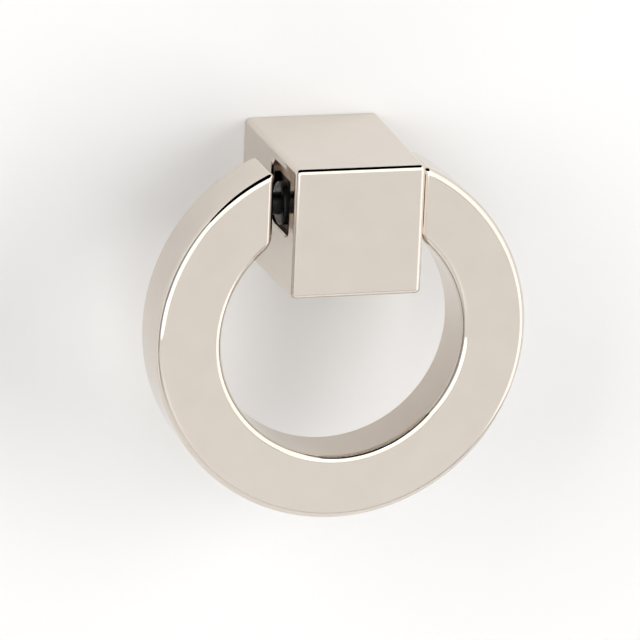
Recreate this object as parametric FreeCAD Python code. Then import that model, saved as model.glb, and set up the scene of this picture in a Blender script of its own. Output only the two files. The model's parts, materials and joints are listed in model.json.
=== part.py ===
"""Ring pull handle: a square post that carries a heavy open ring on two sprung pins.

Lengths are millimetres. The origin is the middle of the post's back face, which stands
against the door. +Z is up, +X is to the right as seen from the room, and the front faces -Y.
"""
import FreeCAD
import Part
import math
import os

# Ring: a bar of nearly square section, bent to a circle that is open at the top
RING_OUTER_D = 50.8
RING_BAR_WIDTH = 8.8
RING_THICKNESS = 9.2
RING_EDGE_R = 1.0
RING_EDGE_FLATS = 3
RING_END_EDGE_R = 0.95

# Post: a square block that grows slightly towards the door
POST_FRONT_WIDTH = 17.7
POST_FLARE = 0.9
POST_DEPTH = 24.3
POST_EDGE_R = 0.75

# Pivot axis, along X through the post
PIVOT_FROM_FRONT = 7.1
PIVOT_ABOVE_MIDDLE = 2.4
PIVOT_BELOW_RING_END_MIDDLE = 0.5

# Shallow square pocket round the pivot in each side of the post, a little higher than the pivot
POCKET_WIDTH = 8.6
POCKET_HEIGHT = 8.6
POCKET_DEPTH = 1.1
POCKET_ABOVE_PIVOT = 0.7
POCKET_CORNER_R = 1.2
POCKET_RIM_CHAMFER = 0.25

# Sprung pins, one in each end of the ring
PIN_D = 3.0
PIN_REACH = 2.8
PIN_TIP_CHAMFER = 0.4
PIN_HEAD_LENGTH = 1.0
PIN_HOLE_SPARE_DEPTH = 0.6

# Flanged bushes, pressed into the post's cross bore
BUSH_WALL = 0.55
BUSH_SLEEVE_LENGTH = 2.4
BUSH_FLANGE_LIP = 0.8
BUSH_FLANGE_CHAMFER = 0.25
BUSH_STAND_OUT = 0.2

# Coil spring that holds the two pins apart
SPRING_WIRE_D = 0.5
SPRING_WIRE_SIDES = 6
SPRING_TURNS = 6

# Tapped hole for the fixing screw, at the drill size of an M4 thread
SCREW_HOLE_D = 3.3
SCREW_HOLE_WEB = 3.1
DRILL_POINT_ANGLE = 118.0

# Clearances
RUNNING_CLEARANCE = 0.05
HEAD_SIDE_CLEARANCE = 0.2
AXIAL_CLEARANCE = 0.05
RING_PLAY = 1.0
RING_REST_CLEARANCE = 0.2

# Places worked out from the sizes above
LEFT, RIGHT = -1, 1
SAME_PLACE = 0.01
PIVOT_Y = PIVOT_FROM_FRONT - POST_DEPTH
PIVOT_Z = PIVOT_ABOVE_MIDDLE
POCKET_Z = PIVOT_Z + POCKET_ABOVE_PIVOT


def post_side_x(y):
    """Distance of the post's side face from the middle plane, at depth y."""
    share = (y + POST_DEPTH) / POST_DEPTH
    return (POST_FRONT_WIDTH + POST_FLARE * share) / 2


POCKET_FLOOR_X = post_side_x(PIVOT_Y) - POCKET_DEPTH
BUSH_FACE_X = post_side_x(PIVOT_Y) + BUSH_STAND_OUT
BUSH_END_X = POCKET_FLOOR_X - BUSH_SLEEVE_LENGTH
RING_END_X = BUSH_FACE_X + RING_PLAY
PIN_TIP_X = RING_END_X + PIN_REACH
PIN_SHOULDER_X = BUSH_END_X - AXIAL_CLEARANCE
PIN_INNER_X = PIN_SHOULDER_X - PIN_HEAD_LENGTH

PIN_R = PIN_D / 2
PIN_BORE_R = PIN_R + RUNNING_CLEARANCE
CROSS_BORE_R = PIN_BORE_R + BUSH_WALL
PIN_HEAD_R = CROSS_BORE_R - HEAD_SIDE_CLEARANCE

# The ring has slid to the left until its right-hand end lies by the right-hand bush
RING_X = RING_REST_CLEARANCE - RING_PLAY
RING_OUTER_R = RING_OUTER_D / 2
RING_INNER_R = RING_OUTER_R - RING_BAR_WIDTH


def height_on_circle(radius, x):
    """Height above a circle's centre of its point at distance x from the middle."""
    return math.sqrt(radius**2 - x**2)


# The pivot runs a little below the middle of the ring's end faces, and so sets the ring's height
END_TOP = height_on_circle(RING_OUTER_R, RING_END_X)
END_BOTTOM = height_on_circle(RING_INNER_R, RING_END_X)
RING_Z = PIVOT_Z + PIVOT_BELOW_RING_END_MIDDLE - (END_TOP + END_BOTTOM) / 2


def place(x, y, z):
    return FreeCAD.Vector(x, y, z)


def square_outline(width, y):
    """Closed square wire about the Y axis, at depth y."""
    half = width / 2
    corners = [place(-half, y, -half), place(half, y, -half), place(half, y, half), place(-half, y, half)]
    return Part.makePolygon(corners + corners[:1])


def turned_about_pivot(profile, side):
    """Solid turned about the pivot axis from (x, radius) points, mirrored for the left side."""
    points = [place(side * x, PIVOT_Y, PIVOT_Z + radius) for x, radius in profile]
    face = Part.Face(Part.makePolygon(points + points[:1]))
    return face.revolve(place(0, PIVOT_Y, PIVOT_Z), place(1, 0, 0), 360)


def bore_along_x(radius, start_x, end_x):
    low, high = sorted((start_x, end_x))
    return Part.makeCylinder(radius, high - low, place(low, PIVOT_Y, PIVOT_Z), place(1, 0, 0))


def post_block():
    """Flared block with rounded front edges and rounded long edges, sharp against the door."""
    front = square_outline(POST_FRONT_WIDTH, -POST_DEPTH)
    back = square_outline(POST_FRONT_WIDTH + POST_FLARE, 0)
    block = Part.makeLoft([front, back], True, True)
    rounded = [edge for edge in block.Edges if edge.BoundBox.YMin < -POST_DEPTH / 2]
    return block.makeFillet(POST_EDGE_R, rounded)


def pocket_tool(side):
    """Rounded square bar that cuts the pocket from the side face down to its floor."""
    length = POST_FRONT_WIDTH
    corner = place(
        POCKET_FLOOR_X if side == RIGHT else -POCKET_FLOOR_X - length,
        PIVOT_Y - POCKET_WIDTH / 2,
        POCKET_Z - POCKET_HEIGHT / 2,
    )
    bar = Part.makeBox(length, POCKET_WIDTH, POCKET_HEIGHT, corner)
    long_edges = [edge for edge in bar.Edges if edge.BoundBox.XLength > length / 2]
    return bar.makeFillet(POCKET_CORNER_R, long_edges)


def is_pocket_rim(edge):
    """True for an edge that lies in a side face of the post, round a pocket's mouth."""
    middle = edge.valueAt((edge.FirstParameter + edge.LastParameter) / 2)
    in_side_face = abs(abs(middle.x) - post_side_x(middle.y)) < SAME_PLACE
    in_pocket_width = abs(middle.y - PIVOT_Y) < POCKET_WIDTH / 2 + SAME_PLACE
    in_pocket_height = abs(middle.z - POCKET_Z) < POCKET_HEIGHT / 2 + SAME_PLACE
    return in_side_face and in_pocket_width and in_pocket_height


def screw_hole_tool():
    """Drilled hole from the back face, with its cone-shaped end, short of the cross bore."""
    radius = SCREW_HOLE_D / 2
    depth = -PIVOT_Y - CROSS_BORE_R - SCREW_HOLE_WEB
    cone = radius / math.tan(math.radians(DRILL_POINT_ANGLE / 2))
    drill = Part.makeCylinder(radius, depth, place(0, 0, 0), place(0, -1, 0))
    point = Part.makeCone(radius, 0, cone, place(0, -depth, 0), place(0, -1, 0))
    return drill.fuse(point)


def make_post():
    post = post_block()
    for side in (LEFT, RIGHT):
        post = post.cut(pocket_tool(side))
    rims = [edge for edge in post.Edges if is_pocket_rim(edge)]
    post = post.makeChamfer(POCKET_RIM_CHAMFER, rims)
    post = post.cut(bore_along_x(CROSS_BORE_R, -POST_FRONT_WIDTH, POST_FRONT_WIDTH))
    return post.cut(screw_hole_tool())


def bar_corner(radius, y, first_angle):
    """Points of one rounded corner of the bar's section, a quarter turn of narrow flats."""
    steps = range(RING_EDGE_FLATS + 1)
    angles = [math.radians(first_angle + 90 * step / RING_EDGE_FLATS) for step in steps]
    return [
        place(RING_X, y + RING_EDGE_R * math.sin(angle), RING_Z - radius - RING_EDGE_R * math.cos(angle))
        for angle in angles
    ]


def bar_section():
    """Face of the bar's section, cut across at the lowest point of the ring."""
    outer = RING_OUTER_R - RING_EDGE_R
    inner = RING_INNER_R + RING_EDGE_R
    front = PIVOT_Y - RING_THICKNESS / 2 + RING_EDGE_R
    back = PIVOT_Y + RING_THICKNESS / 2 - RING_EDGE_R
    points = bar_corner(outer, front, -90) + bar_corner(outer, back, 0)
    points += bar_corner(inner, back, 90) + bar_corner(inner, front, 180)
    return Part.Face(Part.makePolygon(points + points[:1]))


def ring_gap_tool():
    """Block that takes the top out of the closed ring and leaves two upright end faces."""
    corner = place(RING_X - RING_END_X, PIVOT_Y - RING_THICKNESS, RING_Z)
    return Part.makeBox(2 * RING_END_X, 2 * RING_THICKNESS, RING_OUTER_D, corner)


def is_in_end_face(edge):
    """True for an edge that lies wholly in one of the ring's two upright end faces."""
    box = edge.BoundBox
    from_end = abs(box.Center.x - RING_X) - RING_END_X
    return box.XLength < SAME_PLACE and abs(from_end) < SAME_PLACE


def pin_hole_tool(side):
    """Blind hole in one end of the ring, deep enough when the ring has slid to that side."""
    start = RING_X + side * RING_END_X
    depth = PIN_REACH + RING_PLAY + PIN_HOLE_SPARE_DEPTH
    return bore_along_x(PIN_BORE_R, start, start + side * depth)


def make_ring():
    hoop = bar_section().revolve(place(RING_X, PIVOT_Y, RING_Z), place(0, 1, 0), 360)
    ring = hoop.cut(ring_gap_tool())
    ring = ring.makeFillet(RING_END_EDGE_R, [edge for edge in ring.Edges if is_in_end_face(edge)])
    for side in (LEFT, RIGHT):
        ring = ring.cut(pin_hole_tool(side))
    return ring


def make_bush(side):
    """Sleeve in the cross bore with a flange that fills the pocket and spaces the ring."""
    flange_r = CROSS_BORE_R + BUSH_FLANGE_LIP
    profile = [
        (BUSH_END_X, PIN_BORE_R),
        (BUSH_END_X, CROSS_BORE_R),
        (POCKET_FLOOR_X, CROSS_BORE_R),
        (POCKET_FLOOR_X, flange_r),
        (BUSH_FACE_X - BUSH_FLANGE_CHAMFER, flange_r),
        (BUSH_FACE_X, flange_r - BUSH_FLANGE_CHAMFER),
        (BUSH_FACE_X, PIN_BORE_R),
    ]
    return turned_about_pivot(profile, side)


def make_pin(side):
    """Headed pin: the head stops behind the bush, and the tip stands in the ring's hole."""
    profile = [
        (PIN_INNER_X, 0),
        (PIN_INNER_X, PIN_HEAD_R),
        (PIN_SHOULDER_X, PIN_HEAD_R),
        (PIN_SHOULDER_X, PIN_R),
        (PIN_TIP_X - PIN_TIP_CHAMFER, PIN_R),
        (PIN_TIP_X, PIN_R - PIN_TIP_CHAMFER),
        (PIN_TIP_X, 0),
    ]
    return turned_about_pivot(profile, side)


def make_spring():
    """Open coil of thin wire between the two pin heads, along the pivot axis."""
    coil_r = PIN_HEAD_R - SPRING_WIRE_D / 2
    height = 2 * (PIN_INNER_X - AXIAL_CLEARANCE) - SPRING_WIRE_D
    helix = Part.makeHelix(height / SPRING_TURNS, height, coil_r)
    wire = Part.Circle(place(coil_r, 0, 0), helix.Edges[0].tangentAt(0), SPRING_WIRE_D / 2)
    corners = [wire.value(2 * math.pi * side / SPRING_WIRE_SIDES) for side in range(SPRING_WIRE_SIDES)]
    section = Part.makePolygon(corners + corners[:1])
    coil = Part.Wire(helix.Edges).makePipeShell([section], True, True)
    coil.translate(place(0, 0, -height / 2))
    coil.rotate(place(0, 0, 0), place(0, 1, 0), 90)
    coil.translate(place(0, PIVOT_Y, PIVOT_Z))
    return coil


def main():
    nodes = {
        "post": make_post(),
        "ring": make_ring(),
        "left_bush": make_bush(LEFT),
        "right_bush": make_bush(RIGHT),
        "left_pivot_pin": make_pin(LEFT),
        "right_pivot_pin": make_pin(RIGHT),
        "pin_spring": make_spring(),
    }
    os.makedirs("parts", exist_ok=True)
    for name, shape in nodes.items():
        shape.exportStep(f"parts/{name}.step")
        print(f"{name}: {len(shape.Solids)} solid, {shape.Volume:.1f} mm3, valid {shape.isValid()}")


main()
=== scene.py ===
# %% [markdown]
# # A ring pull handle, finished for the camera
#
# The solids of this handle come from its construction model, and they are loaded here as a fixed
# frame. A square post stands on a door and carries a heavy ring on two sprung pins. This lesson
# gives each solid the surface that the real one has. Every solid gets a finer mesh of the same
# form here, because polished metal shows each facet in its reflections. The thread in the post's
# hole is the one piece that only this lesson has.

# %% Load the frame
import json
import math
import bmesh
import bpy
from mathutils import Matrix, Vector


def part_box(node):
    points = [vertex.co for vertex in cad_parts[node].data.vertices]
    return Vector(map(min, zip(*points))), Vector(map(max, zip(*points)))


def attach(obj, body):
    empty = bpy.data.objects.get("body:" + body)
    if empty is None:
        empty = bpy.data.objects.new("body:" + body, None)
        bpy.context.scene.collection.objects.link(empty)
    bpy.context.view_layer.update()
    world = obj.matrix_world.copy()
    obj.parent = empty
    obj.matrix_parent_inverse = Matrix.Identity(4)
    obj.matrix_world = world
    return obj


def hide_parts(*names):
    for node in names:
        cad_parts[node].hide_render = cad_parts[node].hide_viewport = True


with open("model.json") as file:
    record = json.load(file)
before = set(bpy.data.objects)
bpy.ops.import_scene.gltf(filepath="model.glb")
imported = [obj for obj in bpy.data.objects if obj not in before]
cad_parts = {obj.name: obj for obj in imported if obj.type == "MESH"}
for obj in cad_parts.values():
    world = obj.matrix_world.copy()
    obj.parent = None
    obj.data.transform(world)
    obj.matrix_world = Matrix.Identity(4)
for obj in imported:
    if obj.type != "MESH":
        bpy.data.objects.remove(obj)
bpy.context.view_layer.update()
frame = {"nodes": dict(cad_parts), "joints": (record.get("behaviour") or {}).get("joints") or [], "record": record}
MM = 0.001
pivot = Vector(frame["joints"][0]["pos_m"])
post_low, post_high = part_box("post")
ring_low, ring_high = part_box("ring")
bush_low, bush_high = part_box("right_bush")
pin_low, pin_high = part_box("right_pivot_pin")
spring_low, spring_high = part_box("pin_spring")


def in_mm(values):
    """Values in millimetres, rounded for printing."""
    return [round(value / MM, 2) for value in values]


print("frame:", sorted(frame["nodes"]), "pivot", in_mm(pivot))

# %% [markdown]
# ## The camera
#
# The picture was taken from the left and a little above, with a long lens, so the edges of the
# post stay almost parallel. Where the camera stands was worked out once from the edges of the
# post and the ring. It is kept here as plain angles and distances, measured from the middle of the
# post's front face. The camera looks past that point, so that the whole handle sits in the picture.

# %% Camera
VIEW_AZIMUTH = math.radians(-16.5)
VIEW_ELEVATION = math.radians(17.56)
VIEW_ROLL = math.radians(2.36)
VIEW_DISTANCE = 709 * MM
AIM_RIGHT = -5.16 * MM
AIM_UP = -11.42 * MM
LENS_MM = 304.0
SENSOR_MM = 36.0
front_middle = Vector((0, post_low.y, 0))


def make_camera():
    sight = Vector((
        -math.sin(VIEW_AZIMUTH) * math.cos(VIEW_ELEVATION),
        math.cos(VIEW_AZIMUTH) * math.cos(VIEW_ELEVATION),
        -math.sin(VIEW_ELEVATION),
    ))
    level = Vector((math.cos(VIEW_AZIMUTH), math.sin(VIEW_AZIMUTH), 0))
    upright = level.cross(sight)
    right = level * math.cos(VIEW_ROLL) + upright * math.sin(VIEW_ROLL)
    up = right.cross(sight)
    place = front_middle - sight * VIEW_DISTANCE + right * AIM_RIGHT + up * AIM_UP
    data = bpy.data.cameras.new("camera")
    data.lens = LENS_MM
    data.sensor_width = SENSOR_MM
    data.clip_start = 10 * MM
    data.clip_end = 20
    camera = bpy.data.objects.new("camera", data)
    turn = Matrix((right, up, -sight)).transposed().to_4x4()
    camera.matrix_world = Matrix.Translation(place) @ turn
    bpy.context.scene.collection.objects.link(camera)
    bpy.context.scene.camera = camera
    return camera


camera = make_camera()
print("camera at", in_mm(camera.matrix_world.translation), "mm")

# %% [markdown]
# ## Small helpers
#
# A few helpers save much repetition. They make a mesh from points, put it into the scene as an
# object, add a node to a tree and fill its sockets, turn an object with modifiers into a plain
# mesh, and say how far a piece reaches.

# %% Helpers
def mesh_from(name, points, faces):
    """Mesh from points, and faces that name them by number."""
    mesh = bpy.data.meshes.new(name)
    mesh.from_pydata(points, [], faces)
    return mesh


def show(name, mesh, material=None):
    """Object for a mesh, linked into the scene at the origin."""
    piece = bpy.data.objects.new(name, mesh)
    bpy.context.scene.collection.objects.link(piece)
    if material is not None:
        mesh.materials.clear()
        mesh.materials.append(material)
    return piece


def add_node(tree, kind, inputs=None, **settings):
    """Adds a node. An input is given by name or place, as a value or as a socket to link."""
    node = tree.nodes.new(kind)
    for name, value in settings.items():
        setattr(node, name, value)
    for key, value in (inputs or {}).items():
        if isinstance(value, bpy.types.NodeSocket):
            tree.links.new(value, node.inputs[key])
        else:
            node.inputs[key].default_value = value
    return node


def maths(tree, operation, *values, **settings):
    """Output of one Math node."""
    inputs = dict(enumerate(values))
    return add_node(tree, "ShaderNodeMath", inputs, operation=operation, **settings).outputs[0]


def vector_maths(tree, operation, *values):
    """Output of one Vector Math node."""
    inputs = dict(enumerate(values))
    return add_node(tree, "ShaderNodeVectorMath", inputs, operation=operation).outputs[0]


def made_plain(piece):
    """Bakes the modifiers of a piece into its mesh and takes them off."""
    graph = bpy.context.evaluated_depsgraph_get()
    mesh = bpy.data.meshes.new_from_object(piece.evaluated_get(graph), depsgraph=graph)
    old = piece.data
    piece.modifiers.clear()
    piece.data = mesh
    mesh.name = piece.name
    bpy.data.meshes.remove(old)
    return piece


def span(piece):
    """Words that say how far a piece reaches, in millimetres."""
    points = [vertex.co for vertex in piece.data.vertices]
    low = [min(point[i] for point in points) for i in range(3)]
    high = [max(point[i] for point in points) for i in range(3)]
    return f"from {in_mm(low)} to {in_mm(high)}"


# %% [markdown]
# ## The finishes
#
# Polished nickel looks warm and slightly pink beside chrome, and it has no grain that shows.
# What makes it read as real metal is small: the polish is a little uneven from place to place, so
# highlights have soft edges in one spot and crisp ones in another, and fine wheel marks lie under
# the plate. That effect is a node group, built once, that the steel of the pins and the spring
# uses too, with its own values.

# %% Shared effect: uneven polish
# a noise texture seldom leaves this range
NOISE_LOW = 0.3
NOISE_HIGH = 0.7
HAZE_SHARE = 0.7
MARK_SHARE = 0.3
MARK_HEIGHT = 0.05
MARK_TURN = (0.35, 0.2, 0.6)
MARK_STRETCH = (1.0, 0.03, 0.6)


def group(name, inputs, outputs):
    """Empty shader group with named inputs and outputs."""
    tree = bpy.data.node_groups.new(name, "ShaderNodeTree")
    for title, kind, value in inputs:
        socket = tree.interface.new_socket(title, in_out="INPUT", socket_type=kind)
        if value is not None:
            socket.default_value = value
    for title in outputs:
        tree.interface.new_socket(title, in_out="OUTPUT", socket_type="NodeSocketFloat")
    return tree, tree.nodes.new("NodeGroupInput").outputs, tree.nodes.new("NodeGroupOutput").inputs


def make_polish_group():
    """Haze is the slow change of the polish, and marks are the fine lines that a wheel leaves."""
    tree, taken, given = group(
        "UnevenPolish",
        [
            ("Vector", "NodeSocketVector", None),
            ("Patch Scale", "NodeSocketFloat", 260.0),
            ("Mark Scale", "NodeSocketFloat", 2600.0),
            ("Roughness Low", "NodeSocketFloat", 0.04),
            ("Roughness High", "NodeSocketFloat", 0.09),
        ],
        ["Roughness", "Haze", "Height"],
    )
    haze = add_node(tree, "ShaderNodeTexNoise", {
        "Vector": taken["Vector"], "Scale": taken["Patch Scale"], "Detail": 3.0,
    }).outputs[0]
    stretched = add_node(tree, "ShaderNodeMapping", {
        "Vector": taken["Vector"], "Rotation": MARK_TURN, "Scale": MARK_STRETCH,
    }).outputs[0]
    marks = add_node(tree, "ShaderNodeTexNoise", {
        "Vector": stretched, "Scale": taken["Mark Scale"], "Detail": 2.0,
    }).outputs[0]
    haze_part = maths(tree, "MULTIPLY", haze, HAZE_SHARE)
    mark_part = maths(tree, "MULTIPLY", marks, MARK_SHARE)
    rough = add_node(tree, "ShaderNodeMapRange", {
        "Value": maths(tree, "ADD", haze_part, mark_part),
        "From Min": NOISE_LOW, "From Max": NOISE_HIGH,
        "To Min": taken["Roughness Low"], "To Max": taken["Roughness High"],
    }).outputs[0]
    height = maths(tree, "ADD", haze, maths(tree, "MULTIPLY", marks, MARK_HEIGHT))
    tree.links.new(rough, given["Roughness"])
    tree.links.new(haze, given["Haze"])
    tree.links.new(height, given["Height"])
    return tree


uneven_polish = make_polish_group()
print("shared effect:", uneven_polish.name)


# %% Metals and plastic
POLISH_DEPTH = 0.1 * MM
FLOW_DEPTH = 0.02 * MM
ACETAL_DARK = (0.004, 0.004, 0.0045)
ACETAL_LIGHT = (0.01, 0.01, 0.0105)


def blank_material(name):
    """Material with a Principled shader, and the node that gives a piece's own coordinates."""
    material = bpy.data.materials.new(name)
    material.use_nodes = True
    tree = material.node_tree
    shader = tree.nodes["Principled BSDF"]
    coordinates = tree.nodes.new("ShaderNodeTexCoord").outputs["Object"]
    return material, tree, shader, coordinates


def two_tones(tree, mask, dark, light):
    """Colour that moves from dark to light with a noise."""
    ramp = tree.nodes.new("ShaderNodeValToRGB")
    stops = ramp.color_ramp.elements
    stops[0].position = NOISE_LOW
    stops[1].position = NOISE_HIGH
    stops[0].color = (*dark, 1)
    stops[1].color = (*light, 1)
    tree.links.new(mask, ramp.inputs[0])
    return ramp.outputs[0]


def polished_metal(name, dark, light, low, high, patch_scale, bump):
    """Metal with an uneven polish, whose roughness runs from low to high."""
    material, tree, shader, coordinates = blank_material(name)
    polish = add_node(tree, "ShaderNodeGroup", node_tree=uneven_polish)
    tree.links.new(coordinates, polish.inputs["Vector"])
    polish.inputs["Patch Scale"].default_value = patch_scale
    polish.inputs["Roughness Low"].default_value = low
    polish.inputs["Roughness High"].default_value = high
    colour = two_tones(tree, polish.outputs["Haze"], dark, light)
    tree.links.new(colour, shader.inputs["Base Color"])
    tree.links.new(polish.outputs["Roughness"], shader.inputs["Roughness"])
    bumped = add_node(tree, "ShaderNodeBump", {
        "Strength": bump, "Distance": POLISH_DEPTH, "Height": polish.outputs["Height"],
    }).outputs[0]
    tree.links.new(bumped, shader.inputs["Normal"])
    shader.inputs["Metallic"].default_value = 1.0
    return material


def black_acetal_material():
    """Black moulded plastic with a faint flow pattern and a soft gloss."""
    material, tree, shader, coordinates = blank_material("black_acetal")
    flow = add_node(tree, "ShaderNodeTexNoise", {
        "Vector": coordinates, "Scale": 900.0, "Detail": 4.0,
    }).outputs[0]
    colour = two_tones(tree, flow, ACETAL_DARK, ACETAL_LIGHT)
    tree.links.new(colour, shader.inputs["Base Color"])
    rough = add_node(tree, "ShaderNodeMapRange", {
        "Value": flow, "To Min": 0.16, "To Max": 0.42,
    }).outputs[0]
    tree.links.new(rough, shader.inputs["Roughness"])
    bumped = add_node(tree, "ShaderNodeBump", {
        "Strength": 0.2, "Distance": FLOW_DEPTH, "Height": flow,
    }).outputs[0]
    tree.links.new(bumped, shader.inputs["Normal"])
    shader.inputs["IOR"].default_value = 1.48
    shader.inputs["Specular IOR Level"].default_value = 0.22
    return material


polished_nickel = polished_metal(
    "polished_nickel", dark=(0.695, 0.632, 0.563), light=(0.712, 0.65, 0.582),
    low=0.035, high=0.075, patch_scale=240.0, bump=0.02,
)
blackened_steel = polished_metal(
    "blackened_steel", dark=(0.015, 0.015, 0.016), light=(0.04, 0.039, 0.038),
    low=0.25, high=0.45, patch_scale=900.0, bump=0.15,
)
spring_steel = polished_metal(
    "spring_steel", dark=(0.4, 0.4, 0.41), light=(0.5, 0.5, 0.51),
    low=0.18, high=0.35, patch_scale=1500.0, bump=0.15,
)
black_acetal = black_acetal_material()
print("materials:", sorted(material.name for material in bpy.data.materials))

# %% [markdown]
# ## Painted shade in the pockets
#
# Each side of the post has a shallow pocket. The wheel can't reach into it, so it stays dull, and a
# painted brown stands for the dim light deep in the recess. A painted black in its middle stands for
# the shade round the black bush and for the bush's reflection in the floor. Both are only a skin on
# the same metal, so a material of their own would be one too many. A second node group gives a mask
# instead, which is 1 inside a box. The mask mixes the skin's colour and a higher roughness into the
# nickel there.

# %% Painted shade skins in the pockets
POCKET_ABOVE_PIVOT = 0.7 * MM
SKIN_ROUGHNESS = 0.4
SKIN_SOFT_EDGE = 0.12 * MM
# painted shade: the darker brown stands for the dim light in the pocket; the higher roughness is the real dull
# metal
POCKET_SHADE_BROWN = (0.6, 0.47, 0.37)
POCKET_SHADE_MIDDLE = (8.2 * MM, pivot.y, pivot.z + POCKET_ABOVE_PIVOT)
POCKET_SHADE_HALF_SIZE = (0.6 * MM, 4.6 * MM, 4.6 * MM)
# painted shade and reflection: black round the bush, where the pocket lies in shade and its floor mirrors the
# black bush
BUSH_SHADE_BLACK = (0.012, 0.011, 0.01)
BUSH_SHADE_MIDDLE = (8.15 * MM, pivot.y, pivot.z - 0.2 * MM)
BUSH_SHADE_HALF_SIZE = (0.55 * MM, 4.6 * MM, 3.4 * MM)


def make_box_group():
    """Mask that is 1 inside a box and inside its mirror image on the left, with a soft edge."""
    tree, taken, given = group(
        "InsideBox",
        [
            ("Vector", "NodeSocketVector", None),
            ("Middle", "NodeSocketVector", None),
            ("Half Size", "NodeSocketVector", None),
            ("Edge", "NodeSocketFloat", 0.0001),
        ],
        ["Mask"],
    )
    # both sides of the piece count as one, because X is taken without its sign
    parts = add_node(tree, "ShaderNodeSeparateXYZ", {0: taken["Vector"]}).outputs
    folded = add_node(tree, "ShaderNodeCombineXYZ", {
        0: maths(tree, "ABSOLUTE", parts[0]), 1: parts[1], 2: parts[2],
    }).outputs[0]
    away = vector_maths(tree, "ABSOLUTE", vector_maths(tree, "SUBTRACT", folded, taken["Middle"]))
    room = add_node(tree, "ShaderNodeSeparateXYZ", {
        0: vector_maths(tree, "SUBTRACT", taken["Half Size"], away),
    }).outputs
    least = maths(tree, "MINIMUM", maths(tree, "MINIMUM", room[0], room[1]), room[2])
    mask = add_node(tree, "ShaderNodeMapRange", {
        "Value": least, "From Min": 0.0, "From Max": taken["Edge"],
    }, interpolation_type="SMOOTHSTEP").outputs[0]
    tree.links.new(mask, given["Mask"])
    return tree


def mixed_colour(tree, mask, first, second):
    """Colour that moves from the first to the second with a mask."""
    mix = add_node(tree, "ShaderNodeMix", data_type="RGBA")
    tree.links.new(mask, mix.inputs["Factor"])
    tree.links.new(first, mix.inputs[6])
    mix.inputs[7].default_value = (*second, 1)
    return mix.outputs[2]


def put_painted_shade(material, colour, middle, half_size):
    """Gives a metal a dull skin of painted shade, a darker colour, inside a box and inside its mirror image."""
    tree = material.node_tree
    shader = tree.nodes["Principled BSDF"]
    box = add_node(tree, "ShaderNodeGroup", node_tree=inside_box)
    tree.links.new(tree.nodes.new("ShaderNodeTexCoord").outputs["Object"], box.inputs["Vector"])
    box.inputs["Middle"].default_value = middle
    box.inputs["Half Size"].default_value = half_size
    box.inputs["Edge"].default_value = SKIN_SOFT_EDGE
    mask = box.outputs["Mask"]
    bare = shader.inputs["Base Color"].links[0].from_socket
    rough = shader.inputs["Roughness"].links[0].from_socket
    tree.links.new(mixed_colour(tree, mask, bare, colour), shader.inputs["Base Color"])
    dull = maths(tree, "MAXIMUM", rough, maths(tree, "MULTIPLY", mask, SKIN_ROUGHNESS))
    tree.links.new(dull, shader.inputs["Roughness"])


inside_box = make_box_group()
# both skins paint shade into the pockets: brown on the walls, and black round the bush (the print calls it grease)
put_painted_shade(polished_nickel, POCKET_SHADE_BROWN, POCKET_SHADE_MIDDLE, POCKET_SHADE_HALF_SIZE)
put_painted_shade(polished_nickel, BUSH_SHADE_BLACK, BUSH_SHADE_MIDDLE, BUSH_SHADE_HALF_SIZE)
print("skins: brown round", in_mm(POCKET_SHADE_MIDDLE), "and grease round", in_mm(BUSH_SHADE_MIDDLE))


# %% Finishes on the solids
FINISHES = {
    "polished_nickel": polished_nickel,
    "blackened_steel": blackened_steel,
    "spring_steel": spring_steel,
    "black_acetal": black_acetal,
}
for subpart in frame["record"]["subparts"]:
    node = frame["nodes"][subpart["node"]]
    for slot in node.material_slots:
        slot.material = FINISHES[subpart["material_slot"]]
print("finishes:", sorted(FINISHES))

# %% [markdown]
# ## The stage
#
# The handle hangs on a white board, which fills the picture. Polished metal shows nothing but what
# stands round it, so the stage is what paints the handle. A white floor lies far below, and a black
# card starts on the board above the handle and bends forward overhead. It draws the fine dark line
# along the upper edges. The card only shows in reflections, so it takes no light from the board.

# %% Board and table
BOARD_GAP = 0.1 * MM
BOARD_SIZE = 2.4
BOARD_WHITE = (0.9, 0.895, 0.89)
OPENING_HALF = 8.6 * MM
TABLE_HEIGHT = -900 * MM
TABLE_WHITE = (0.94, 0.935, 0.93)
board_y = post_high.y + BOARD_GAP


def stage_paint(name, albedo, one_sided=True):
    """Matt paint on the front of a card, and nothing on its back, so that a camera sees past it."""
    material = bpy.data.materials.new(name)
    material.use_nodes = True
    tree = material.node_tree
    tree.nodes.remove(tree.nodes["Principled BSDF"])
    surface = add_node(tree, "ShaderNodeBsdfDiffuse", {"Color": (*albedo, 1)}).outputs[0]
    if one_sided:
        clear = add_node(tree, "ShaderNodeBsdfTransparent").outputs[0]
        side = add_node(tree, "ShaderNodeNewGeometry").outputs["Backfacing"]
        mix = add_node(tree, "ShaderNodeMixShader", {0: side, 1: surface, 2: clear})
        surface = mix.outputs[0]
    tree.links.new(surface, tree.nodes["Material Output"].inputs["Surface"])
    return material


def make_board():
    """Board with a square opening behind the post, so that light reaches the post's back face."""
    y, s, h = board_y, BOARD_SIZE, OPENING_HALF
    outer = [(-s, y, TABLE_HEIGHT), (s, y, TABLE_HEIGHT), (s, y, s), (-s, y, s)]
    inner = [(-h, y, -h), (h, y, -h), (h, y, h), (-h, y, h)]
    faces = [(i, (i + 1) % 4, 4 + (i + 1) % 4, 4 + i) for i in range(4)]
    mesh = mesh_from("board", outer + inner, faces)
    board = show("board", mesh, stage_paint("board_paint", BOARD_WHITE))
    return board


def make_table():
    """Pale floor that runs from the board's foot towards the camera."""
    s, z = BOARD_SIZE, TABLE_HEIGHT
    corners = [(-s, -2 * s, z), (s, -2 * s, z), (s, board_y, z), (-s, board_y, z)]
    mesh = mesh_from("table", corners, [(0, 1, 2, 3)])
    table = show("table", mesh, stage_paint("table_paint", TABLE_WHITE))
    return table


board = make_board()
table = make_table()
print("board and table:", board.name, table.name)


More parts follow.
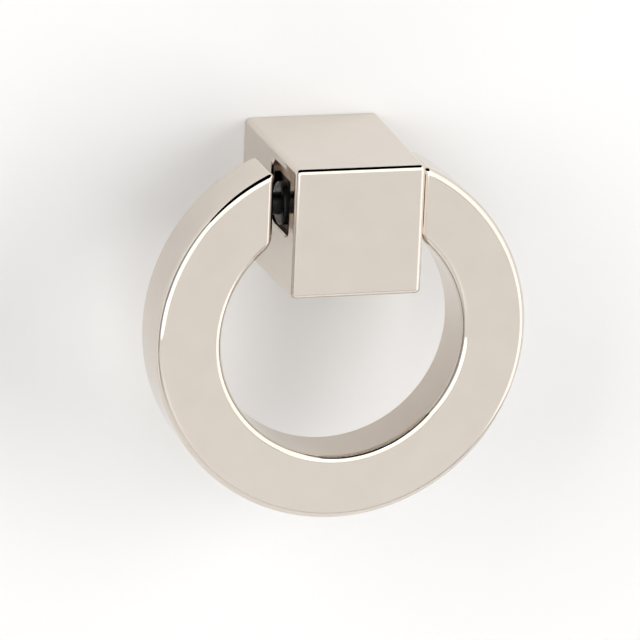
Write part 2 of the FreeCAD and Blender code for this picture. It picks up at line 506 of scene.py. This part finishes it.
# %% The card overhead
CARD_OFF_BOARD = 1 * MM
CARD_LOW = 50
CARD_HIGH = 600
# corners in mm: right and up for the half on the board, right and forward for the half overhead
CARD_UPRIGHT = [(-50, CARD_LOW), (50, CARD_LOW), (330, CARD_HIGH), (-750, CARD_HIGH)]
CARD_OVERHEAD = [(330, 0), (330, 420), (-100, 450), (-750, 450), (-750, 0)]


def make_card():
    """Black card on the board above the handle, bent forward overhead. Only reflections show it."""
    y = post_high.y - CARD_OFF_BOARD
    upright = [(x * MM, y, z * MM) for x, z in CARD_UPRIGHT]
    overhead = [(x * MM, y - ahead * MM, CARD_HIGH * MM) for x, ahead in CARD_OVERHEAD]
    mesh = mesh_from("card", upright + overhead, [(0, 1, 2, 3), (4, 5, 6, 7, 8)])
    card = show("card", mesh, stage_paint("card_paint", (0.0, 0.0, 0.0), one_sided=False))
    card.visible_camera = False
    card.visible_diffuse = False
    card.visible_transmission = False
    card.visible_shadow = False
    return card


card = make_card()
print("card:", card.name)

# %% [markdown]
# ## The light
#
# Three soft boxes light the board: one from each side and a weak one from the front. The right one
# is the strongest and the narrowest, so the handle throws its shadow to the left. What the metal
# shows is set apart from that. Four pale screens stand round the handle as only reflections see
# them: left, right, in front and low. The front faces lean on the dim low one, which is why they
# are grey-beige while their rounded edges catch the bright ones as white lines.

# %% Lights
LAMP_DISTANCE = 1.2
SKY_WHITE = (1.0, 0.995, 0.99)


def lamp(name, azimuth, elevation, width, height, radiance):
    """Area light that looks at the handle. Azimuth is measured from the front towards the right."""
    a, e = math.radians(azimuth), math.radians(elevation)
    away = Vector((math.sin(a) * math.cos(e), -math.cos(a) * math.cos(e), math.sin(e)))
    data = bpy.data.lights.new(name, "AREA")
    data.shape = "RECTANGLE"
    data.size = width
    data.size_y = height
    data.energy = radiance * math.pi * width * height
    light = bpy.data.objects.new(name, data)
    light.rotation_euler = away.to_track_quat("Z", "Y").to_euler()
    light.location = front_middle + away * LAMP_DISTANCE
    light.visible_camera = False
    bpy.context.scene.collection.objects.link(light)
    return light


def soft_box(name, azimuth, elevation, width, height, on_matt=0.0, on_metal=0.0):
    """Lamp for matt surfaces, lamp that only metal shows, or both, each with its own strength."""
    for word, radiance in (("wash", on_matt), ("shine", on_metal)):
        if radiance > 0:
            light = lamp(f"{name}_{word}", azimuth, elevation, width, height, radiance)
            light.visible_diffuse = word == "wash"
            light.visible_glossy = word == "shine"


def set_world(strength):
    """Even light from all sides."""
    world = bpy.data.worlds.new("studio")
    world.use_nodes = True
    background = world.node_tree.nodes["Background"]
    background.inputs["Color"].default_value = (*SKY_WHITE, 1)
    background.inputs["Strength"].default_value = strength
    bpy.context.scene.world = world


soft_box("left_box", -65, 22, width=1.0, height=1.3, on_matt=2.55)
soft_box("right_box", 53, 5, width=0.55, height=1.2, on_matt=4.1)
soft_box("front_box", 5, 5, width=0.8, height=1.4, on_matt=0.6)
soft_box("left_screen", -35, 17, width=1.12, height=1.555, on_metal=1.3)
soft_box("right_screen", 58, 10, width=1.28, height=2.4, on_metal=1.15)
soft_box("front_screen", 10, 28, width=0.87, height=1.17, on_metal=1.3)
soft_box("low_screen", -20, -18, width=2.6, height=0.78, on_metal=0.57)
set_world(strength=0.4)
bpy.context.scene.view_settings.view_transform = "Standard"

# %% [markdown]
# ## The ring
#
# The ring is a bar of nearly square section, bent to a circle and cut open at the top, and the cuts
# are upright. That is a rule, so Geometry Nodes can make it: sweep the bar's outline along a
# straight line, and then lay each point on the circle. Each point of the outline keeps its own
# radius, so it also gets its own start angle, which is what makes the cut faces flat and upright. The
# rounding of the cut edges is part of the same rule: the last few rows of points draw in a little,
# as a quarter circle does. Two cylinders then drill the holes for the pins.

# %% Ring: sizes
RING_BAR_WIDTH = 8.8 * MM
RING_EDGE_R = 1.0 * MM
RING_END_EDGE_R = 0.95 * MM
RING_SIDE_PLAY = 1.0 * MM
PIN_SHANK_R = 1.5 * MM
PIN_RUNNING_CLEARANCE = 0.05 * MM
PIN_HOLE_SPARE_DEPTH = 0.6 * MM
ring_outer_r = (ring_high.x - ring_low.x) / 2
ring_thickness = ring_high.y - ring_low.y
ring_centre = Vector(((ring_low.x + ring_high.x) / 2, pivot.y, ring_low.z + ring_outer_r))
ring_end_reach = bush_high.x + RING_SIDE_PLAY
pin_hole_depth = pin_high.x - ring_end_reach + RING_SIDE_PLAY + PIN_HOLE_SPARE_DEPTH
pin_bore_r = PIN_SHANK_R + PIN_RUNNING_CLEARANCE
print("ring radius and reach of its end faces:", in_mm([ring_outer_r, ring_end_reach]))


# %% Helpers for geometry trees
def new_geometry_tree(name, **inputs):
    """Tree with one geometry output. Its inputs are given as lists of names, one list a kind."""
    tree = bpy.data.node_groups.new(name, "GeometryNodeTree")
    for kind, titles in inputs.items():
        for title in titles:
            tree.interface.new_socket(title, in_out="INPUT", socket_type=f"NodeSocket{kind}")
    tree.interface.new_socket("Geometry", in_out="OUTPUT", socket_type="NodeSocketGeometry")
    return tree, tree.nodes.new("NodeGroupInput").outputs, tree.nodes.new("NodeGroupOutput").inputs


def end_tree(tree, geometry, material, given):
    """The last nodes of every tree: real geometry, with its material."""
    real = add_node(tree, "GeometryNodeRealizeInstances", {"Geometry": geometry}).outputs[0]
    painted = add_node(tree, "GeometryNodeSetMaterial", {"Geometry": real, "Material": material})
    tree.links.new(painted.outputs[0], given["Geometry"])


def kept(tree, geometry, kind, name, value):
    """Keeps a value on each point. Gives the geometry, and the value as it was there."""
    node = tree.nodes.new("GeometryNodeCaptureAttribute")
    node.capture_items.new(kind, name)
    tree.links.new(geometry, node.inputs["Geometry"])
    tree.links.new(value, node.inputs[name])
    return node.outputs["Geometry"], node.outputs[name]


def grown_piece(name, tree, values):
    """Object whose mesh a tree makes, turned into a plain mesh."""
    piece = show(name, bpy.data.meshes.new(name))
    modifier = piece.modifiers.new(tree.name, "NODES")
    modifier.node_group = tree
    for item in tree.interface.items_tree:
        if item.in_out == "INPUT":
            modifier[item.identifier] = values[item.name]
    made_plain(piece)
    print(name, "has", len(piece.data.vertices), "points")
    return piece


# %% Ring: the straight bar
def bar_outline(tree, size):
    """Rectangle with rounded corners, which keeps where its points are."""
    square = add_node(tree, "GeometryNodeCurvePrimitiveQuadrilateral", {
        "Width": size["Bar Width"], "Height": size["Thickness"],
    }).outputs[0]
    outline = add_node(tree, "GeometryNodeFilletCurve", {
        "Curve": square, "Radius": size["Edge Radius"], "Count": size["Edge Steps"],
    }, mode="POLY").outputs[0]
    place = tree.nodes.new("GeometryNodeInputPosition").outputs[0]
    return kept(tree, outline, "VECTOR", "Point", place)


def bar_rows(tree, size):
    """Straight line with a point for each row of the bar, which keeps the rows' numbers."""
    both_ends = maths(tree, "MULTIPLY", size["End Rows"], 2.0)
    last_row = maths(tree, "ADD", size["Rows"], both_ends)
    line = add_node(tree, "GeometryNodeCurvePrimitiveLine", {"End": (0.0, 0.0, 1.0)}).outputs[0]
    rows = add_node(tree, "GeometryNodeResampleCurve", {
        "Curve": line, "Count": maths(tree, "ADD", last_row, 1.0),
    }).outputs[0]
    number = tree.nodes.new("GeometryNodeSplineParameter").outputs["Index"]
    return kept(tree, rows, "INT", "Row", number)


# %% Ring: the rounding at the cuts and the bend
def rounding_at_cuts(tree, size, row):
    """How far a row's outline is drawn in, and how far the row lies behind the cut face."""
    end_rows = size["End Rows"]
    from_start = maths(tree, "SUBTRACT", end_rows, row)
    from_end = maths(tree, "SUBTRACT", row, maths(tree, "ADD", end_rows, size["Rows"]))
    rows_in = maths(tree, "MAXIMUM", from_start, from_end)
    # 0 on the bar and 1 at the cut face, and then as an angle on the quarter circle
    near_cut = maths(tree, "DIVIDE", rows_in, end_rows, use_clamp=True)
    turn = maths(tree, "MULTIPLY", near_cut, math.pi / 2)
    rest = [maths(tree, "SUBTRACT", 1.0, maths(tree, kind, turn)) for kind in ("COSINE", "SINE")]
    return [maths(tree, "MULTIPLY", size["End Edge Radius"], part) for part in rest]


def drawn_in(tree, size, point, inset):
    """Draws a point of the outline in, towards the middle of its rounded corner."""
    half = add_node(tree, "ShaderNodeCombineXYZ", {
        0: maths(tree, "MULTIPLY", size["Bar Width"], 0.5),
        1: maths(tree, "MULTIPLY", size["Thickness"], 0.5),
    }).outputs[0]
    corner = add_node(tree, "ShaderNodeCombineXYZ", {
        0: size["Edge Radius"], 1: size["Edge Radius"],
    }).outputs[0]
    core = vector_maths(tree, "SUBTRACT", half, corner)
    low_core = vector_maths(tree, "MULTIPLY", core, (-1.0, -1.0, -1.0))
    middle = vector_maths(tree, "MAXIMUM", vector_maths(tree, "MINIMUM", point, core), low_core)
    shrink = maths(tree, "SUBTRACT", 1.0, maths(tree, "DIVIDE", inset, size["Edge Radius"]))
    arm = add_node(tree, "ShaderNodeVectorMath", {
        0: vector_maths(tree, "SUBTRACT", point, middle), "Scale": shrink,
    }, operation="SCALE").outputs[0]
    return vector_maths(tree, "ADD", middle, arm)


def bent(tree, size, point, row, reach):
    """Lays a point on its own circle, between the first and the last angle of that circle."""
    parts = add_node(tree, "ShaderNodeSeparateXYZ", {0: point}).outputs
    half_width = maths(tree, "MULTIPLY", size["Bar Width"], 0.5)
    middle_radius = maths(tree, "SUBTRACT", size["Outer Radius"], half_width)
    radius = maths(tree, "ADD", middle_radius, parts[0])
    first = maths(tree, "ARCSINE", maths(tree, "DIVIDE", reach, radius))
    rows_done = maths(tree, "SUBTRACT", row, size["End Rows"])
    share = maths(tree, "DIVIDE", rows_done, size["Rows"], use_clamp=True)
    sweep = maths(tree, "SUBTRACT", 2 * math.pi, maths(tree, "MULTIPLY", first, 2.0))
    angle = maths(tree, "ADD", first, maths(tree, "MULTIPLY", share, sweep))
    laid = add_node(tree, "ShaderNodeCombineXYZ", {
        0: maths(tree, "MULTIPLY", radius, maths(tree, "SINE", angle)),
        1: parts[1],
        2: maths(tree, "MULTIPLY", radius, maths(tree, "COSINE", angle)),
    }).outputs[0]
    return vector_maths(tree, "ADD", laid, size["Centre"])


# %% Ring: node tree
def ring_tree():
    tree, size, given = new_geometry_tree(
        "BentBar",
        Float=["Outer Radius", "Bar Width", "Thickness", "Edge Radius", "End Reach", "End Edge Radius"],
        Int=["Rows", "End Rows", "Edge Steps"],
        Vector=["Centre"],
        Material=["Material"],
    )
    outline, point = bar_outline(tree, size)
    rows, row = bar_rows(tree, size)
    bar = add_node(tree, "GeometryNodeCurveToMesh", {
        "Curve": rows, "Profile Curve": outline, "Fill Caps": True,
    }).outputs[0]
    inset, behind = rounding_at_cuts(tree, size, row)
    reach = maths(tree, "ADD", size["End Reach"], behind)
    place = bent(tree, size, drawn_in(tree, size, point, inset), row, reach)
    placed = add_node(tree, "GeometryNodeSetPosition", {"Geometry": bar, "Position": place})
    end_tree(tree, placed.outputs[0], size["Material"], given)
    return tree


bent_bar = ring_tree()
print("tree:", bent_bar.name, "with", len(bent_bar.nodes), "nodes")


# %% Helpers for solid metal
SHARP_ANGLE = math.radians(28)
FLAT_FACE_WEIGHT = 80
MERGE_DISTANCE = 0.0002 * MM
TURNED_SEGMENTS = 96


def outward(mesh):
    """Points the faces of a closed mesh outwards."""
    work = bmesh.new()
    work.from_mesh(mesh)
    bmesh.ops.remove_doubles(work, verts=work.verts, dist=MERGE_DISTANCE)
    bmesh.ops.recalc_face_normals(work, faces=work.faces)
    work.to_mesh(mesh)
    work.free()
    return mesh


def sharpened(piece):
    """Smooth shading with crisp edges, and flat faces that stay flat beside their rounded edges."""
    work = bmesh.new()
    work.from_mesh(piece.data)
    for face in work.faces:
        face.smooth = True
    for edge in work.edges:
        edge.smooth = len(edge.link_faces) == 2 and edge.calc_face_angle(0) < SHARP_ANGLE
    work.to_mesh(piece.data)
    work.free()
    modifier = piece.modifiers.new("flat faces", "WEIGHTED_NORMAL")
    modifier.keep_sharp = True
    modifier.weight = FLAT_FACE_WEIGHT
    return made_plain(piece)


def stacked(name, loops, closed=True):
    """Solid from loops of equally many points, joined loop to loop and closed at both ends."""
    count = len(loops[0])
    points = [point for loop in loops for point in loop]
    faces = []
    for row in range(len(loops) - 1):
        for i in range(count):
            a, b = row * count + i, row * count + (i + 1) % count
            faces.append((a, b, b + count, a + count))
    if closed:
        faces.append(tuple(range(count)))
        faces.append(tuple(range(len(points) - count, len(points))))
    return outward(mesh_from(name, points, faces))


def circle(radius, segments):
    """Points of a circle, as pairs."""
    turns = [2 * math.pi * i / segments for i in range(segments)]
    return [(radius * math.cos(turn), radius * math.sin(turn)) for turn in turns]


def turned(name, profile, side):
    """Solid turned about the pivot axis from (x, radius) points, mirrored for the left side."""
    loops = []
    for x, radius in profile:
        spots = circle(radius, TURNED_SEGMENTS)
        loops.append([(side * x, pivot.y + y, pivot.z + z) for y, z in spots])
    return stacked(name, loops, closed=profile[0] != profile[-1])


def cut(piece, *tools):
    """Takes the tools' solids out of a piece."""
    for tool in tools:
        modifier = piece.modifiers.new("cut", "BOOLEAN")
        modifier.operation = "DIFFERENCE"
        modifier.solver = "EXACT"
        modifier.object = tool
    made_plain(piece)
    for tool in tools:
        bpy.data.objects.remove(tool)
    return piece


# %% Ring: build it
LEFT, RIGHT = -1, 1
DRILL_OVERSHOOT = 2 * MM
ring = grown_piece("polished_ring", bent_bar, {
    "Outer Radius": ring_outer_r, "Bar Width": RING_BAR_WIDTH, "Thickness": ring_thickness,
    "Edge Radius": RING_EDGE_R, "End Reach": ring_end_reach, "End Edge Radius": RING_END_EDGE_R,
    "Rows": 300, "End Rows": 8, "Edge Steps": 12, "Centre": ring_centre, "Material": polished_nickel,
})
outward(ring.data)
drills = []
for side in (LEFT, RIGHT):
    mouth = side * ring_centre.x + ring_end_reach
    first, last = mouth - DRILL_OVERSHOOT, mouth + pin_hole_depth
    profile = [(first, 0), (first, pin_bore_r), (last, pin_bore_r), (last, 0)]
    drills.append(show("drill", turned("drill", profile, side)))
cut(ring, *drills)
sharpened(ring)
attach(ring, "ring_body")
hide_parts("ring")
print("ring:", len(ring.data.polygons), "faces")

# %% [markdown]
# ## The post
#
# The post was cast or milled as one block that grows slightly towards the door. Its mesh is a stack
# of rounded squares, from the back face to the front. The last rows shrink as a quarter circle does
# and so round the front edges. Then the tools of a workshop follow as cutting solids: a square
# pocket in each side with a small bevel at its mouth, one bore across for the pins, and the tapped
# hole for the fixing screw. That hole is cut to the thread's outer size, because its thread is made
# next.

# %% Post: sizes and block
POST_FRONT_WIDTH = 17.7 * MM
POST_EDGE_R = 0.75 * MM
EDGE_STEPS = 10
# the front outline's corners never shrink to nothing, so they stay round balls
LARGEST_INSET = 0.999 * POST_EDGE_R
post_depth = -post_low.y
post_back_half = post_high.x


def post_half(y):
    """Half of the post's width at depth y."""
    share = (y + post_depth) / post_depth
    return POST_FRONT_WIDTH / 2 + (post_back_half - POST_FRONT_WIDTH / 2) * share


def rounded_square(half, corner_r, inset=0):
    """Points of a rounded square, drawn in by an inset no larger than its corner radius."""
    points = []
    core = math.sqrt(2) * (half - corner_r)
    for quarter in range(4):
        middle = math.pi / 2 * quarter + math.pi / 4
        for step in range(EDGE_STEPS + 1):
            angle = math.pi / 2 * (quarter + step / EDGE_STEPS)
            points.append((
                core * math.cos(middle) + (corner_r - inset) * math.cos(angle),
                core * math.sin(middle) + (corner_r - inset) * math.sin(angle),
            ))
    return points


def post_block():
    loops = [[(x, post_high.y, z) for x, z in rounded_square(post_back_half, POST_EDGE_R)]]
    for step in range(EDGE_STEPS + 1):
        turn = math.pi / 2 * step / EDGE_STEPS
        y = post_low.y + POST_EDGE_R * (1 - math.sin(turn))
        inset = min(POST_EDGE_R * (1 - math.cos(turn)), LARGEST_INSET)
        outline = rounded_square(post_half(y), POST_EDGE_R, inset)
        loops.append([(x, y, z) for x, z in outline])
    return stacked("polished_post", loops)


post = show("polished_post", post_block(), polished_nickel)
print("block:", len(post.data.polygons), "faces,", span(post))

# %% Post: sizes of the pockets and bores
POCKET_HALF = 4.3 * MM
POCKET_DEPTH = 1.1 * MM
POCKET_CORNER_R = 1.2 * MM
POCKET_RIM = 0.25 * MM
BUSH_WALL = 0.55 * MM
SCREW_MAJOR_R = 2.0 * MM
SCREW_MINOR_R = 1.65 * MM
SCREW_PITCH = 0.7 * MM
SCREW_HOLE_WEB = 3.1 * MM
SCREW_HOLE_SEGMENTS = 64
SCREW_DRILL_OVERSHOOT = 1 * MM
DRILL_POINT = math.radians(118 / 2)
DRILL_TIP_R = 0.01 * MM
cross_bore_r = pin_bore_r + BUSH_WALL
pocket_floor_x = post_half(pivot.y) - POCKET_DEPTH
pocket_z = pivot.z + POCKET_ABOVE_PIVOT
screw_hole_depth = -pivot.y - cross_bore_r - SCREW_HOLE_WEB
print("tapped hole is", round(screw_hole_depth / MM, 1), "mm deep")


# %% Post: pockets and bores
def pocket_tool(side):
    """Rounded square bar with a bevelled mouth that follows the slope of the post's side."""
    def loop(grow, lift):
        outline = rounded_square(POCKET_HALF + grow, POCKET_CORNER_R + grow)
        return [
            (side * (post_half(pivot.y + y) + lift), pivot.y + y, pocket_z + z) for y, z in outline
        ]

    flat_floor = rounded_square(POCKET_HALF, POCKET_CORNER_R)
    floor = [(side * pocket_floor_x, pivot.y + y, pocket_z + z) for y, z in flat_floor]
    mouth = [loop(0, -POCKET_RIM), loop(POCKET_RIM, 0), loop(2 * POCKET_RIM, POCKET_RIM)]
    return show("pocket", stacked("pocket", [floor] + mouth))


def screw_hole_tool():
    """Drill of the thread's outer size, with the drill's point at the end."""
    point_length = SCREW_MINOR_R / math.tan(DRILL_POINT)
    profile = [
        (SCREW_DRILL_OVERSHOOT, SCREW_MAJOR_R), (-screw_hole_depth, SCREW_MAJOR_R),
        (-screw_hole_depth, SCREW_MINOR_R), (-screw_hole_depth - point_length, DRILL_TIP_R),
    ]
    loops = [[(x, y, z) for x, z in circle(r, SCREW_HOLE_SEGMENTS)] for y, r in profile]
    return show("drill", stacked("drill", loops))


def cross_bore_tool():
    """Drill that runs through the post from side to side."""
    reach = POST_FRONT_WIDTH
    profile = [(-reach, 0), (-reach, cross_bore_r), (reach, cross_bore_r), (reach, 0)]
    return show("bore", turned("bore", profile, RIGHT))


cut(post, pocket_tool(LEFT), pocket_tool(RIGHT), cross_bore_tool(), screw_hole_tool())
sharpened(post)
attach(post, "post_body")
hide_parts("post")
print("post:", len(post.data.polygons), "faces")

# %% [markdown]
# ## The screw thread
#
# A thread is one ridge that follows a helix, so it is a curve with a profile. The tree below sweeps
# a triangle with a flat crest along a spiral of constant radius. The ridge starts on the wall of
# the hole and reaches in to the size that the drill left.

# %% Thread
RIDGE_ROOT_SHARE = 0.86
RIDGE_CREST_SHARE = 0.2


def thread_tree():
    tree, size, given = new_geometry_tree(
        "InnerThread",
        Float=["Wall Radius", "Crest Radius", "Pitch", "Length"],
        Int=["Steps"],
        Material=["Material"],
    )
    # the ridge lies evenly on both sides of its path, so the path runs between wall and crest
    both = maths(tree, "ADD", size["Wall Radius"], size["Crest Radius"])
    middle_radius = maths(tree, "MULTIPLY", both, 0.5)
    spiral = add_node(tree, "GeometryNodeCurveSpiral", {
        "Resolution": size["Steps"], "Rotations": maths(tree, "DIVIDE", size["Length"], size["Pitch"]),
        "Start Radius": middle_radius, "End Radius": middle_radius, "Height": size["Length"],
    }).outputs[0]
    upright = add_node(tree, "GeometryNodeSetCurveNormal", {"Curve": spiral}, mode="Z_UP").outputs[0]
    ridge = add_node(tree, "GeometryNodeCurvePrimitiveQuadrilateral", {
        "Bottom Width": maths(tree, "MULTIPLY", size["Pitch"], RIDGE_ROOT_SHARE),
        "Top Width": maths(tree, "MULTIPLY", size["Pitch"], RIDGE_CREST_SHARE),
        "Height": maths(tree, "SUBTRACT", size["Wall Radius"], size["Crest Radius"]), "Offset": 0.0,
    }, mode="TRAPEZOID").outputs[0]
    turned_ridge = add_node(tree, "GeometryNodeTransform", {
        "Geometry": ridge, "Rotation": (0.0, 0.0, math.pi / 2),
    }).outputs[0]
    swept = add_node(tree, "GeometryNodeCurveToMesh", {
        "Curve": upright, "Profile Curve": turned_ridge, "Fill Caps": True,
    }).outputs[0]
    # the first turn starts half a pitch inside the mouth, so nothing stands out of the back face
    start = add_node(tree, "ShaderNodeCombineXYZ", {
        1: maths(tree, "MULTIPLY", size["Pitch"], -0.5),
    }).outputs[0]
    laid = add_node(tree, "GeometryNodeTransform", {
        "Geometry": swept, "Rotation": (math.pi / 2, 0.0, 0.0), "Translation": start,
    }).outputs[0]
    end_tree(tree, laid, size["Material"], given)
    return tree


thread = grown_piece("screw_thread", thread_tree(), {
    "Wall Radius": SCREW_MAJOR_R, "Crest Radius": SCREW_MINOR_R, "Pitch": SCREW_PITCH,
    "Length": screw_hole_depth - SCREW_PITCH, "Steps": 48, "Material": polished_nickel,
})
outward(thread.data)
sharpened(thread)
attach(thread, "post_body")
print("thread runs", span(thread))

# %% [markdown]
# ## Bushes, pins and spring
#
# A black bush sits in each pocket. Its flange spaces the ring from the post, and a steel pin runs
# through it into the ring. Both are turned parts, so their meshes are turned too: a profile of a few
# points, spun about the pivot. The rounded corners that a mould and a lathe leave are in the profile.
# The spring between the pins' heads is a wire that follows a helix, so it is a tree like the
# thread's.

# %% Bushes and pins
BUSH_FLANGE_LIP = 0.8 * MM
BUSH_FLANGE_ROUND = 0.25 * MM
PIN_HEAD_LENGTH = 1.0 * MM
PIN_TIP_BEVEL = 0.4 * MM
EDGE_BREAK = 0.08 * MM
HEAD_SIDE_CLEARANCE = 0.2 * MM
pin_head_r = cross_bore_r - HEAD_SIDE_CLEARANCE


def rounded_corner(x, radius, size, steps=5):
    """Quarter turn from the outer wall to the outer face of a turned part."""
    turns = [math.pi / 2 * step / steps for step in range(steps + 1)]
    return [(x - size + size * math.sin(t), radius - size + size * math.cos(t)) for t in turns]


def make_bush(side, name):
    flange_r = cross_bore_r + BUSH_FLANGE_LIP
    profile = [
        (bush_low.x, pin_bore_r), (bush_low.x, cross_bore_r - EDGE_BREAK),
        (bush_low.x + EDGE_BREAK, cross_bore_r),
        (pocket_floor_x, cross_bore_r), (pocket_floor_x, flange_r),
    ]
    profile += rounded_corner(bush_high.x, flange_r, BUSH_FLANGE_ROUND)
    profile += [(bush_high.x, pin_bore_r), (bush_low.x, pin_bore_r)]
    return show(name, turned(name, profile, side), black_acetal)


def make_pin(side, name):
    shoulder = pin_low.x + PIN_HEAD_LENGTH
    profile = [
        (pin_low.x, 0), (pin_low.x, pin_head_r - EDGE_BREAK),
        (pin_low.x + EDGE_BREAK, pin_head_r),
    ]
    profile += rounded_corner(shoulder, pin_head_r, EDGE_BREAK, steps=2)
    profile += [(shoulder, PIN_SHANK_R), (pin_high.x - PIN_TIP_BEVEL, PIN_SHANK_R)]
    profile += [(pin_high.x, PIN_SHANK_R - PIN_TIP_BEVEL), (pin_high.x, 0)]
    return show(name, turned(name, profile, side), blackened_steel)


for side, word in ((LEFT, "left"), (RIGHT, "right")):
    bush = sharpened(make_bush(side, f"moulded_{word}_bush"))
    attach(bush, "post_body")
    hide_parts(f"{word}_bush")
    pin = sharpened(make_pin(side, f"turned_{word}_pin"))
    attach(pin, "ring_body")
    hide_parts(f"{word}_pivot_pin")
    print(word, "bush and pin:", len(bush.data.polygons), len(pin.data.polygons), "faces")


# %% Spring
SPRING_WIRE_R = 0.25 * MM
SPRING_TURNS = 6.0
WIRE_SIDES = 16


def spring_tree():
    tree, size, given = new_geometry_tree(
        "CoilSpring",
        Float=["Coil Radius", "Wire Radius", "Turns", "Length"],
        Int=["Steps"],
        Vector=["Middle"],
        Material=["Material"],
    )
    helix = add_node(tree, "GeometryNodeCurveSpiral", {
        "Resolution": size["Steps"], "Rotations": size["Turns"], "Start Radius": size["Coil Radius"],
        "End Radius": size["Coil Radius"], "Height": size["Length"],
    }).outputs[0]
    half_back = add_node(tree, "ShaderNodeCombineXYZ", {
        2: maths(tree, "MULTIPLY", size["Length"], -0.5),
    }).outputs[0]
    centred = add_node(tree, "GeometryNodeTransform", {
        "Geometry": helix, "Translation": half_back,
    }).outputs[0]
    wire = add_node(tree, "GeometryNodeCurvePrimitiveCircle", {
        "Resolution": WIRE_SIDES, "Radius": size["Wire Radius"],
    }).outputs[0]
    coil = add_node(tree, "GeometryNodeCurveToMesh", {
        "Curve": centred, "Profile Curve": wire, "Fill Caps": True,
    }).outputs[0]
    laid = add_node(tree, "GeometryNodeTransform", {
        "Geometry": coil, "Rotation": (0.0, math.pi / 2, 0.0), "Translation": size["Middle"],
    }).outputs[0]
    end_tree(tree, laid, size["Material"], given)
    return tree


spring = grown_piece("wound_spring", spring_tree(), {
    "Coil Radius": pin_head_r - SPRING_WIRE_R, "Wire Radius": SPRING_WIRE_R, "Turns": SPRING_TURNS,
    "Length": spring_high.x - spring_low.x - 2 * SPRING_WIRE_R, "Steps": 40, "Middle": pivot,
    "Material": spring_steel,
})
outward(spring.data)
sharpened(spring)
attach(spring, "post_body")
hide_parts("pin_spring")
print("spring runs", span(spring), "and its solid from", in_mm(spring_low), "to", in_mm(spring_high))
